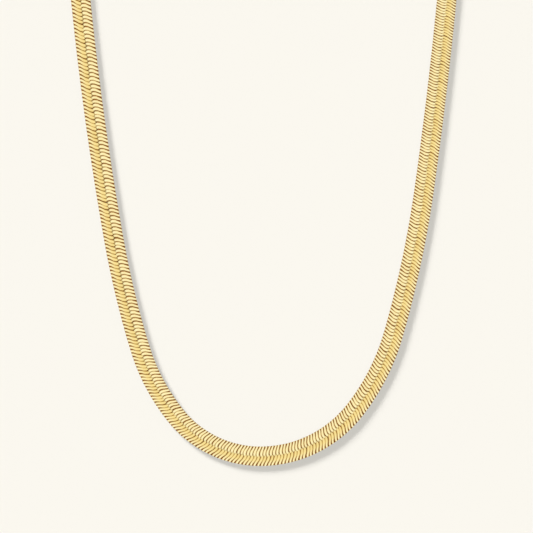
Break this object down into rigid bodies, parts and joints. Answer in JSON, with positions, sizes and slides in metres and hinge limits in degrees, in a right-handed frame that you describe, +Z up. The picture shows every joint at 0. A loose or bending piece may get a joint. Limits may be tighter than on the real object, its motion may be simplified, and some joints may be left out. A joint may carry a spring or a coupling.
{
  "type": "herringbone chain necklace",
  "caption": "Flat woven herringbone necklace band lying as a closed loop, with end caps, jump rings and a barrel clasp at the back.",
  "frame": {"origin": "middle of the necklace's box, on the surface that it lies on", "axes": "+Z up from the surface through the band's face, +Y from the front of the loop to the clasp at the back, +X to the right seen from above"},
  "size_m": [0.1056, 0.1756, 0.003],
  "materials": {
    "band_gold": "polished yellow gold, woven flat links",
    "fitting_gold": "polished yellow gold"
  },
  "bodies": {
    "root": {"herringbone_chain": "band_gold", "end_cap_left": "fitting_gold", "end_cap_right": "fitting_gold", "jump_ring_left": "fitting_gold", "jump_ring_right": "fitting_gold", "clasp": "fitting_gold"}
  },
  "joints": []
}
